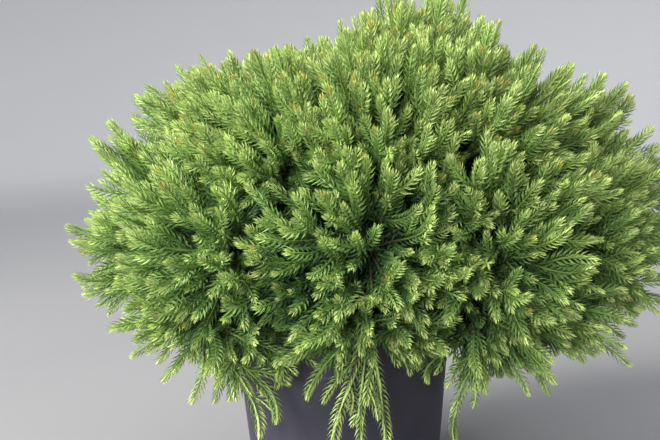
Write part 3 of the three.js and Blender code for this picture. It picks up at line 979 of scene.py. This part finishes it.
def limb_pieces(masses):
    """The trunk and the boughs, with the bark's relief."""
    bark = bark_material("bark", **LIMB_BARK)
    radii = trunk_radius_at(TRUNK_SHARES, 0.0)[None] * TRUNK_SLIMNESS
    mesh = tube_mesh("trunk_bark", TRUNK_CURVE[None], TRUNK_SHARES, radii, TRUNK_SIDES, trunk_relief)
    placed("trunk_bark", mesh, bark, ["trunk"])
    curves = np.array([mass.bough for mass in masses])
    radii = tapered(len(masses), BOUGH_SHARES, *BOUGH_RADII)
    mesh = tube_mesh("bough_bark", curves, BOUGH_SHARES, radii, BOUGH_SIDES, bark_relief)
    placed("bough_bark", mesh, bark, [f"bough_{mass.name}" for mass in masses])


def linear(colour):
    """A colour as seen, 0 to 255, as Blender's linear values."""
    channels = np.array(colour) / 255
    bright = ((channels + 0.055) / 1.055) ** 2.4
    return (*np.where(channels <= 0.04045, channels / 12.92, bright), 1.0)


def new_material(name, roughness):
    """A material, its node tree and its shader."""
    material = bpy.data.materials.new(name)
    material.use_nodes = True
    shader = material.node_tree.nodes["Principled BSDF"]
    shader.inputs["Roughness"].default_value = roughness
    return material, material.node_tree, shader


def new_node(tree, kind, **values):
    """A new shader node, with values for some of its inputs."""
    node = tree.nodes.new(f"ShaderNode{kind}")
    for name, value in values.items():
        node.inputs[name].default_value = value
    return node


def noise_node(tree, scale, detail, stretch=(1, 1, 1), turn=(0, 0, 0)):
    """A noise texture in the object's own coordinates, turned and then stretched."""
    place = new_node(tree, "TexCoord")
    mapping = new_node(tree, "Mapping", Scale=stretch, Rotation=turn)
    noise = new_node(tree, "TexNoise", Scale=scale, Detail=detail)
    tree.links.new(place.outputs["Object"], mapping.inputs["Vector"])
    tree.links.new(mapping.outputs["Vector"], noise.inputs["Vector"])
    return noise.outputs["Fac"]


def ramp_node(tree, source, stops):
    """A colour ramp from a list of (place, colour as seen)."""
    ramp = new_node(tree, "ValToRGB")
    elements = ramp.color_ramp.elements
    while len(elements) < len(stops):
        elements.new(0.5)
    for element, (place, colour) in zip(elements, stops):
        element.position = place
        element.color = linear(colour)
    tree.links.new(source, ramp.inputs["Fac"])
    return ramp.outputs["Color"]


def bump_node(tree, shader, source, distance, strength):
    bump = new_node(tree, "Bump", Distance=distance, Strength=strength)
    tree.links.new(source, bump.inputs["Height"])
    tree.links.new(bump.outputs["Normal"], shader.inputs["Normal"])


def grained_material(name, roughness, stops, scale, detail, stretch=(1, 1, 1), bump=None, specular=0.5):
    """A material coloured by a noise, with its relief too where bump has a distance and a strength."""
    material, tree, shader = new_material(name, roughness)
    shader.inputs["Specular IOR Level"].default_value = specular
    noise = noise_node(tree, scale, detail, stretch)
    tree.links.new(ramp_node(tree, noise, stops), shader.inputs["Base Color"])
    if bump is not None:
        bump_node(tree, shader, noise, *bump)
    return material


def needle_material(name, colour):
    """Waxy green needles whose colour drifts a little from one twig to the next."""
    darker = tuple(channel * 0.86 for channel in colour)
    lighter = tuple(min(255, channel * 1.10) for channel in colour)
    stops = [(0.34, darker), (0.66, lighter)]
    return grained_material(f"needle_{name}", 0.5, stops, scale=42, detail=2, specular=0.3)


def bark_material(name, dark, light, scale):
    """Fibrous brown bark."""
    stops = [(0.35, dark), (0.62, light)]
    return grained_material(name, 0.85, stops, scale, detail=6, stretch=(1, 1, 0.35), bump=(0.001, 0.6))


def mix_material():
    """Damp crumbly peat."""
    stops = [(0.35, (38, 28, 22)), (0.65, (82, 60, 44))]
    return grained_material("potting_mix", 0.95, stops, scale=180, detail=8, bump=(0.003, 0.8))


def pot_material():
    """Matt black plastic, a little dusty, with faint slanting scratches in places."""
    material, tree, shader = new_material("pot_plastic", roughness=0.5)
    dust = noise_node(tree, scale=14, detail=5)
    plastic = ramp_node(tree, dust, [(0.35, (37, 36, 47)), (0.7, (49, 48, 60))])
    slant = (0, math.radians(38), 0)
    streaks = noise_node(tree, scale=150, detail=1, stretch=(0.12, 0.12, 1), turn=slant)
    thin = ramp_node(tree, streaks, [(0.63, (0, 0, 0)), (0.67, (255, 255, 255))])
    places = noise_node(tree, scale=9, detail=1)
    patches = ramp_node(tree, places, [(0.52, (0, 0, 0)), (0.62, (150, 150, 150))])
    where = new_node(tree, "Math")
    where.operation = "MULTIPLY"
    tree.links.new(thin, where.inputs[0])
    tree.links.new(patches, where.inputs[1])
    scratched = new_node(tree, "MixRGB", Color2=linear((96, 97, 104)))
    tree.links.new(where.outputs["Value"], scratched.inputs["Fac"])
    tree.links.new(plastic, scratched.inputs["Color1"])
    tree.links.new(scratched.outputs["Color"], shader.inputs["Base Color"])
    grain = noise_node(tree, scale=900, detail=2)
    bump_node(tree, shader, grain, distance=0.0003, strength=0.25)
    return material


def arc(radius, z, across, up, turns):
    """Points of an outline on an arc about a middle, at angles from straight outwards."""
    return [(radius + across * math.cos(turn), z + up * math.sin(turn)) for turn in turns]


def pot_profile():
    """The pot's outline from the middle of its underside round the lip to the middle of its floor."""
    lip_foot = POT_HEIGHT - POT_LIP_HEIGHT
    inner_top = POT_RIM_RADIUS - POT_WALL
    inner_base = POT_BASE_RADIUS - POT_WALL
    outline = [(0.0, 0.0), (POT_MIDDLE_RADIUS, 0.0), (POT_BASE_RADIUS - POT_EDGE, 0.0)]
    outline += [(POT_BASE_RADIUS - POT_EDGE * POT_CHAMFER, POT_EDGE * POT_CHAMFER)]
    outline += [
        (lerp(POT_BASE_RADIUS, POT_RIM_RADIUS, share), lerp(POT_EDGE, lip_foot - POT_EDGE, share))
        for share in np.linspace(0, 1, POT_WALL_RINGS)]
    outline += arc(POT_RIM_RADIUS, lip_foot, POT_LIP_RADIUS - POT_RIM_RADIUS, POT_EDGE, POT_STEP_TURNS)
    half = (POT_LIP_RADIUS - inner_top) / 2
    outline += arc(inner_top + half, POT_HEIGHT - half, half, half, POT_LIP_TURNS)
    outline += [(inner_top, lip_foot), (inner_base, POT_FLOOR + POT_EDGE)]
    outline += [(inner_base - POT_EDGE, POT_FLOOR), (POT_MIDDLE_RADIUS, POT_FLOOR), (0.0, POT_FLOOR)]
    return outline


def hole_mesh():
    """Upright cylinders through the pot's floor, for cutting its drain holes."""
    heights = lerp(-POT_FLOOR, 2 * POT_FLOOR, np.linspace(0, 1, 4))
    curves = np.stack([ring_points(DRAIN_CIRCLE_RADIUS, z, DRAIN_HOLES, 0.5) for z in heights], axis=1)
    radii = np.full((DRAIN_HOLES, 2), DRAIN_HOLE_RADIUS)
    return tube_mesh("holes", curves, np.array([0.0, 1.0]), radii, HOLE_SIDES)


def pot_piece():
    """The nursery pot: a turned shell with a rolled lip and drain holes through its floor."""
    shell = in_scene("shell", turned_mesh("shell", pot_profile(), POT_SIDES))
    holes = in_scene("holes", hole_mesh())
    cut = shell.modifiers.new("drain_holes", "BOOLEAN")
    cut.operation = "DIFFERENCE"
    cut.solver = "EXACT"
    cut.object = holes
    graph = bpy.context.evaluated_depsgraph_get()
    mesh = bpy.data.meshes.new_from_object(shell.evaluated_get(graph))
    mesh.name = "nursery_pot"
    bpy.data.objects.remove(shell)
    bpy.data.objects.remove(holes)
    mesh.materials.clear()
    placed("nursery_pot", mesh, pot_material(), ["pot"])


def mix_outline():
    """The potting mix's outline from the middle of its foot to the middle of its surface."""
    floor = POT_FLOOR + PIECE_GAP
    foot = POT_BASE_RADIUS - POT_WALL - PIECE_GAP - MIX_FOOT_INSET
    wall = float(pot_radius_at(MIX_TOP) - POT_WALL - PIECE_GAP)
    outline = [(0.0, floor), (POT_MIDDLE_RADIUS, floor), (foot, floor + MIX_FOOT_LIFT)]
    outline += [(wall - MIX_EDGE_INSET, MIX_TOP - MIX_EDGE_DROP)]
    outline += [(wall * share, MIX_TOP - MIX_FALL * share) for share in MIX_TOP_SHARES]
    return [*outline, (0.0, MIX_TOP)]


def mix_piece():
    """The potting mix: a lumpy dark surface."""
    random = np.random.default_rng(MIX_SEED)
    mesh = turned_mesh("potting_mix_surface", mix_outline(), MIX_SIDES)
    coordinates = np.empty(len(mesh.vertices) * 3, np.float32)
    mesh.vertices.foreach_get("co", coordinates)
    coordinates = coordinates.reshape(-1, 3)
    top = coordinates[:, 2] > MIX_TOP - MIX_LUMPS_FROM
    coordinates[top, 2] -= random.uniform(0, MIX_LUMP, int(top.sum()))
    mesh.vertices.foreach_set("co", coordinates.ravel())
    placed("potting_mix_surface", mesh, mix_material(), ["potting_mix"])


def chip_shapes(random):
    """The vertices of every chip about its middle, lying nearly flat and turned at random."""
    sizes = np.stack([random.uniform(*span, BARK_CHIPS) for span in CHIP_HALF_SIZES], axis=1)
    play = random.uniform(-CHIP_UNEVENNESS, CHIP_UNEVENNESS, (BARK_CHIPS, len(CHIP_CORNERS), 3))
    shapes = (CHIP_CORNERS + play) * sizes[:, None]
    turn = random.uniform(0, 2 * math.pi, BARK_CHIPS)
    tilt = random.normal(0, CHIP_TILT, BARK_CHIPS)
    across = np.stack([np.cos(turn), np.sin(turn), np.zeros(BARK_CHIPS)], axis=1)
    along = np.stack([-np.sin(turn) * np.cos(tilt), np.cos(turn) * np.cos(tilt), np.sin(tilt)], axis=1)
    return (shapes[..., :1] * across[:, None] + shapes[..., 1:2] * along[:, None]
            + shapes[..., 2:] * np.cross(across, along)[:, None])


def chip_piece():
    """Flat angular chips of bark strewn over the potting mix, away from the trunk."""
    random = np.random.default_rng(CHIP_SEED)
    shapes = chip_shapes(random)
    reach = np.sqrt(random.uniform(*CHIP_SPREAD, BARK_CHIPS)) * (pot_radius_at(MIX_TOP) - POT_WALL)
    bearing = random.uniform(0, 2 * math.pi, BARK_CHIPS)
    height = np.full(BARK_CHIPS, MIX_TOP - CHIP_SUNK)
    middles = np.stack([np.cos(bearing) * reach, np.sin(bearing) * reach, height], axis=1)
    mesh = mesh_of_shapes("bark_chips", shapes + middles[:, None], CHIP_FACES, smooth=False)
    placed("bark_chips", mesh, bark_material("bark_chip", **CHIP_BARK), ["potting_mix"])


def studio_material():
    """Matt grey that pales away from the plant, as the studio's sides get less light."""
    material, tree, shader = new_material("studio", roughness=0.9)
    place = new_node(tree, "TexCoord")
    distance = new_node(tree, "VectorMath")
    distance.operation = "LENGTH"
    share = new_node(tree, "MapRange", **{"From Min": STUDIO_PALES_FROM, "From Max": STUDIO_RADIUS})
    tree.links.new(place.outputs["Object"], distance.inputs[0])
    tree.links.new(distance.outputs["Value"], share.inputs["Value"])
    colour = ramp_node(tree, share.outputs["Result"], STUDIO_COLOURS)
    tree.links.new(colour, shader.inputs["Base Color"])
    return material


def add_studio():
    """The plain pale floor and the wall it curves up into, open to the sky."""
    floor_radius = STUDIO_RADIUS - STUDIO_COVE
    profile = [(share * floor_radius, 0.0) for share in STUDIO_FLOOR_SHARES]
    profile += arc(floor_radius, STUDIO_COVE, STUDIO_COVE, STUDIO_COVE, STUDIO_COVE_TURNS)
    profile.append((STUDIO_RADIUS, STUDIO_HEIGHT))
    vertices = np.concatenate([ring_points(radius, z, STUDIO_SIDES) for radius, z in profile])
    middle = np.arange(STUDIO_SIDES)
    corners = np.concatenate([middle, band_corners(0, len(profile), STUDIO_SIDES)])
    sizes = np.concatenate([[STUDIO_SIDES], np.full((len(profile) - 1) * STUDIO_SIDES, QUAD_SIDES)])
    mesh = mesh_from("studio", vertices, corners, sizes)
    mesh.materials.append(studio_material())
    in_scene("studio", mesh)


def add_light(name, place, size, watts, colour):
    """A round soft lamp that shines at the plant."""
    data = bpy.data.lights.new(name, "AREA")
    data.shape = "DISK"
    data.size = size
    data.energy = watts
    data.color = colour
    data.spread = math.radians(LIGHT_SPREAD)
    light = in_scene(name, data)
    light.location = place
    light.rotation_euler = (Vector(LIGHT_AIM) - Vector(place)).to_track_quat("-Z", "Y").to_euler()


def add_daylight():
    """The two bright patches, the sky, and colours shown as they are."""
    for light in LIGHTS:
        add_light(**light)
    world = bpy.data.worlds.new("sky")
    world.use_nodes = True
    background = world.node_tree.nodes["Background"]
    background.inputs["Color"].default_value = SKY_COLOUR
    background.inputs["Strength"].default_value = SKY_STRENGTH
    bpy.context.scene.world = world
    bpy.context.scene.view_settings.view_transform = "Standard"


def add_camera():
    """The camera at the photograph's angle."""
    forward = direction_at(90, -CAMERA_PITCH)
    right = turned_about(direction_at(0, 0), forward, CAMERA_ROLL)
    above = np.cross(right, forward)
    aside = (AIM_PIXEL[0] - PHOTO_WIDTH / 2) / FOCAL_PIXELS
    below = (AIM_PIXEL[1] - PHOTO_HEIGHT / 2) / FOCAL_PIXELS
    ray = forward + aside * right - below * above
    eye = AIM_POINT - ray * (CAMERA_BACK / ray[1])
    data = bpy.data.cameras.new("camera")
    data.sensor_width = SENSOR_WIDTH
    data.lens = FOCAL_PIXELS / PHOTO_WIDTH * SENSOR_WIDTH
    data.clip_end = CAMERA_SEES
    camera = in_scene("camera", data)
    turning = Matrix([right, above, -forward]).transposed()
    camera.matrix_world = Matrix.Translation(Vector(eye)) @ turning.to_4x4()
    bpy.context.scene.camera = camera


def build_plant():
    """The whole plant: needles, twigs, trunk and boughs."""
    masses = plan_masses()
    stem_curves = [mass.stem for mass in masses]
    leading_curves = leading_shoots(masses) + inner_leaders(masses)
    side_curves = side_shoots(stem_curves + leading_curves, Draws(FIRST_SEED))
    random = np.random.default_rng(FIRST_SEED)
    stems = gathered(stem_curves, STEM_BARE, random)
    leading = gathered(leading_curves, LEADER_BARE, random)
    sides = gathered(side_curves, SIDE_BARE, random)
    nodes = [f"foliage_{mass.name}" for mass in masses]
    needle_pieces(joined([stems, leading, sides]), nodes, random)
    twig_pieces(stems, leading, sides, nodes)
    limb_pieces(masses)


build_plant()
pot_piece()
mix_piece()
chip_piece()
add_studio()
add_daylight()
add_camera()
